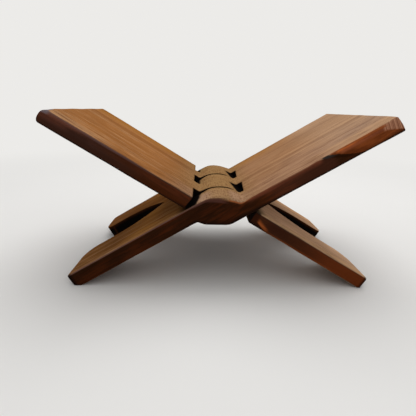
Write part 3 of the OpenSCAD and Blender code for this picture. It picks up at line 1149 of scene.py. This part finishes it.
def wood_fields(bench, leaf):
    """Fills the bench's fields: places on the flat leaf, point values, grain, masks and mixed paints."""
    look = leaf.look
    fields = bench.fields
    lie_flat = (0.0, TILT, 0.0) if leaf.turn > 0 else (0.0, -TILT, math.pi)
    lowered = (-HINGE_HEIGHT * math.sin(TILT), 0.0, -HINGE_HEIGHT * math.cos(TILT))
    mapped = {"Vector": bench.add("TexCoord").outputs["Object"], "Rotation": lie_flat, "Location": lowered}
    place = bench.add("Mapping", mapped).outputs["Vector"]
    axes = bench.add("SeparateXYZ", {"Vector": bench.vector("DIVIDE", place, (MM, MM, MM))}).outputs
    fields.update(s=axes["X"], u=axes["Z"], ahead=bench.math("MULTIPLY", axes["Y"], float(leaf.front)))
    for key in POINT_VALUES:
        fields[key] = bench.add("Attribute", attribute_name=key).outputs["Fac"]
    fields.update(wood_grain(bench, place, look))
    fields["crown_top"] = bench.within(CROWN_TOP)
    fields["edge"] = bench.weighed(dict(edge=1, crown_top=-0.30))
    for name, weights in look.sums.items():
        fields[name] = bench.weighed(weights)
    for name, (weights, scale) in look.stripes.items():
        fields[name] = bench.bands(bench.weighed(weights), scale)
    for name, parts in (MASKS | look.masks).items():
        fields[name] = bench.either(parts)
    for name, (base, layers) in (look.paints | dict(narrow=("edge", NARROW_LAYERS))).items():
        bench.paints[name] = bench.lay(base, layers)


def wood_finish(name, leaf, colours):
    """Oiled dark hardwood: faces and narrow faces, the details of this leaf, painted shade and dirt in the
    hollows.
    """
    material = bpy.data.materials.new(name)
    material.use_nodes = True
    bench = WoodBench(material.node_tree, colours)
    wood_fields(bench, leaf)
    wood = bench.lay("warm_face", leaf.look.face + leaf.look.details + LAST_LAYERS)
    satin = bench.ramp(bench.fields["fibre"], 0.3, 0.75, 0.42, 0.60)
    satin = bench.math("ADD", satin, bench.weighed(dict(blotch=0.10, crown_top=0.25)))
    roughness = bench.math("MAXIMUM", satin, bench.weighed(dict(hollow=0.95)))
    height = bench.weighed(dict(fibre=0.5, pores=-0.6, fine=0.25))
    bump = bench.add("Bump", {"Height": height, "Strength": 0.35, "Distance": 0.0005})
    shader = bench.add(
        "BsdfPrincipled",
        {"Base Color": wood, "Roughness": roughness, "Normal": bump.outputs[0], "Specular IOR Level": 0.0},
    )
    bench.finish("OutputMaterial", shader)
    return material


def dress_leaf(context, name, leaf):
    """Builds one leaf with its finish, in place of its plain solid."""
    sizes = context.scene.book_stand_sizes
    colours = context.scene.book_stand_colours
    piece = leaf_object(name + "_wood", leaf, sizes)
    piece.data.materials.append(wood_finish(name + "_finish", leaf, colours))
    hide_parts(name)
    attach(piece, name)


class BOOKSTAND_OT_outer_leaf(bpy.types.Operator):
    """Carve the leaf with the right-hand board and the three outer knuckles"""

    bl_idname = "book_stand.outer_leaf"
    bl_label = "Outer Leaf"

    def execute(self, context):
        leaf = SimpleNamespace(
            own=0, front=-1, turn=1, facet=True, seed=11, look=OUTER_LOOK,
            board_extra=0.4 * MM, corner=1.5 * MM, corner_wear=0.0,
            nose_top=1.6 * MM, nose_deep=1.6 * MM, nose_under=1.2 * MM,
            leg_extra=2.5 * MM, leg_thicker=1.7 * MM, rear_short=4.0 * MM,
            foot_top=1.6 * MM, foot_under=0.8 * MM, arch_shift=4 * MM, tip_in=0.0,
            window_in=1.1 * MM, window_skew=2.7 * MM, crown_lift=-0.3 * MM,
        )
        dress_leaf(context, "outer_leaf", leaf)
        return {"FINISHED"}


class BOOKSTAND_OT_inner_leaf(bpy.types.Operator):
    """Carve the leaf with the left-hand board and the two knuckles between"""

    bl_idname = "book_stand.inner_leaf"
    bl_label = "Inner Leaf"

    def execute(self, context):
        leaf = SimpleNamespace(
            own=1, front=1, turn=-1, facet=False, seed=23, look=INNER_LOOK,
            board_extra=4.8 * MM, corner=4 * MM, corner_wear=2.2 * MM,
            nose_top=6.5 * MM, nose_deep=9.5 * MM, nose_under=4.5 * MM,
            leg_extra=1.6 * MM, leg_thicker=-0.8 * MM, rear_short=3.2 * MM,
            foot_top=2.6 * MM, foot_under=2.6 * MM, arch_shift=0.0, tip_in=8 * MM,
            window_in=-2.2 * MM, window_skew=0.0, crown_lift=0.6 * MM,
        )
        dress_leaf(context, "inner_leaf", leaf)
        return {"FINISHED"}


def floor_disc(radius):
    """A flat disc as rings of points: radius times the square of an even step, so rings crowd inwards."""
    rings = 24
    sectors = 96
    ring = radius * np.linspace(0.02, 1.0, rings) ** 2
    turn = np.linspace(0.0, 2 * math.pi, sectors, endpoint=False)
    x = ring[:, None] * np.cos(turn)
    y = ring[:, None] * np.sin(turn)
    points = np.stack([x, y, 0 * x], axis=-1).reshape(-1, 3)
    index = np.arange(len(points)).reshape(rings, sectors)
    after = np.roll(index, -1, axis=1)
    faces = np.stack([index[:-1], index[1:], after[1:], after[:-1]], axis=-1).reshape(-1, 4).tolist()
    faces.append(index[0].tolist())
    mesh = bpy.data.meshes.new("floor")
    mesh.from_pydata(points, [], faces)
    return mesh


def floor_finish(pale):
    """A pale matt floor that fades into the background away from the object, as the camera sees it."""
    material = bpy.data.materials.new("pale_floor")
    material.use_nodes = True
    bench = NodeBench(material.node_tree)
    place = bench.add("TexCoord").outputs["Object"]
    away = bench.add("VectorMath", {0: place}, operation="LENGTH").outputs["Value"]
    mottle = bench.noise(place, (9.0, 9.0, 9.0), detail=4.0)
    tone = bench.mix(bench.ramp(mottle, 0.3, 0.7, 0.0, 0.06), pale, [0.9 * c for c in pale])
    matt = bench.add("BsdfPrincipled", {"Base Color": tone, "Roughness": 0.8, "Specular IOR Level": 0.2})
    glow = bench.add("Emission", {"Color": (*pale, 1.0), "Strength": 1.0})
    seen = bench.add("LightPath").outputs["Is Camera Ray"]
    fade = bench.math("MULTIPLY", seen, bench.ramp(away, 0.45, 1.3))
    bench.finish("OutputMaterial", bench.add("MixShader", {0: fade, 1: matt.outputs[0], 2: glow.outputs[0]}))
    return material


def soft_light(name, place, aim, size, power):
    """A square area light that faces its aim."""
    data = bpy.data.lights.new(name, "AREA")
    data.size = size
    data.energy = power
    lamp = bpy.data.objects.new(name, data)
    lamp.location = place
    lamp.rotation_euler = (Vector(aim) - Vector(place)).to_track_quat("-Z", "Y").to_euler()
    bpy.context.scene.collection.objects.link(lamp)


class BOOKSTAND_OT_stage(bpy.types.Operator):
    """Set out the pale floor, the soft light and the camera"""

    bl_idname = "book_stand.stage"
    bl_label = "Stage"

    def execute(self, context):
        scene = context.scene
        look = scene.book_stand_stage
        pale = tuple(look.floor)
        floor = bpy.data.objects.new("floor", floor_disc(radius=6.0))
        floor.data.materials.append(floor_finish(pale))
        scene.collection.objects.link(floor)
        aim = (0.0, 0.0, 0.08)
        soft_light("key_light", place=(0.15, 0.50, 1.40), aim=aim, size=1.3, power=look.key)
        soft_light("fill_light", place=(0.5, -1.3, 0.8), aim=aim, size=1.2, power=look.fill)
        self.surround(scene, pale, look)
        self.camera(scene)
        scene.view_settings.view_transform = "Standard"
        return {"FINISHED"}

    def surround(self, scene, pale, look):
        """Soft light from all round, stronger from above, and the pale background that the camera sees."""
        world = bpy.data.worlds.new("surround")
        world.use_nodes = True
        scene.world = world
        bench = NodeBench(world.node_tree)
        direction = bench.add("TexCoord").outputs["Generated"]
        height = bench.add("SeparateXYZ", {"Vector": direction}).outputs["Z"]
        climb = {"Value": height, "From Min": 0.0, "From Max": 1.0}
        climb |= {"To Min": look.horizon, "To Max": look.zenith}
        strength = bench.add("MapRange", climb).outputs[0]
        path = bench.add("LightPath")
        seen = bench.math("MAXIMUM", path.outputs["Is Camera Ray"], path.outputs["Is Transmission Ray"])
        soft = bench.add("Background", {"Color": (1.0, 1.0, 1.0, 1.0), "Strength": strength})
        shown = bench.add("Background", {"Color": (*pale, 1.0), "Strength": 1.0})
        either = bench.add("MixShader", {0: seen, 1: soft.outputs[0], 2: shown.outputs[0]})
        bench.finish("OutputWorld", either)

    def camera(self, scene):
        """The photograph's viewpoint: place, field of view and the small turns of a hand-held picture."""
        data = bpy.data.cameras.new("camera")
        data.sensor_width = 36.0
        data.lens = 29.26
        camera = bpy.data.objects.new("camera", data)
        camera.location = (-22.5 * MM, -432.8 * MM, 187.7 * MM)
        yaw, pitch, roll = (math.radians(a) for a in (1.48, 16.32, 1.27))
        turned = Matrix.Rotation(-yaw, 3, "Z") @ Matrix.Rotation(math.pi / 2 - pitch, 3, "X")
        camera.rotation_euler = (turned @ Matrix.Rotation(roll, 3, "Z")).to_euler()
        scene.collection.objects.link(camera)
        scene.camera = camera


class BOOKSTAND_PT_panel(bpy.types.Panel):
    """Sizes, colours and steps of the book stand"""

    bl_idname = "BOOKSTAND_PT_panel"
    bl_label = "Folding Book Stand"
    bl_space_type = "VIEW_3D"
    bl_region_type = "UI"
    bl_category = "Book Stand"

    def draw(self, context):
        for kind in OPERATORS:
            self.layout.operator(kind.bl_idname)
        for key, group in GROUPS.items():
            box = self.layout.box()
            for name in group.__annotations__:
                box.prop(getattr(context.scene, key), name)


OPERATORS = (BOOKSTAND_OT_outer_leaf, BOOKSTAND_OT_inner_leaf, BOOKSTAND_OT_stage)
GROUPS = {
    "book_stand_sizes": BookStandSizes,
    "book_stand_colours": BookStandColours,
    "book_stand_stage": BookStandStage,
}
CLASSES = (*GROUPS.values(), *OPERATORS, BOOKSTAND_PT_panel)


def register():
    """Registers the classes and hangs the property groups on the scene."""
    for kind in CLASSES:
        bpy.utils.register_class(kind)
    for key, group in GROUPS.items():
        setattr(bpy.types.Scene, key, bpy.props.PointerProperty(type=group))


def unregister():
    """Takes the property groups and classes away again."""
    for key in GROUPS:
        delattr(bpy.types.Scene, key)
    for kind in reversed(CLASSES):
        bpy.utils.unregister_class(kind)


def main():
    """Builds the stand and its stage."""
    register()
    bpy.ops.book_stand.outer_leaf()
    bpy.ops.book_stand.inner_leaf()
    bpy.ops.book_stand.stage()
    bpy.context.view_layer.update()


if __name__ == "__main__":
    main()
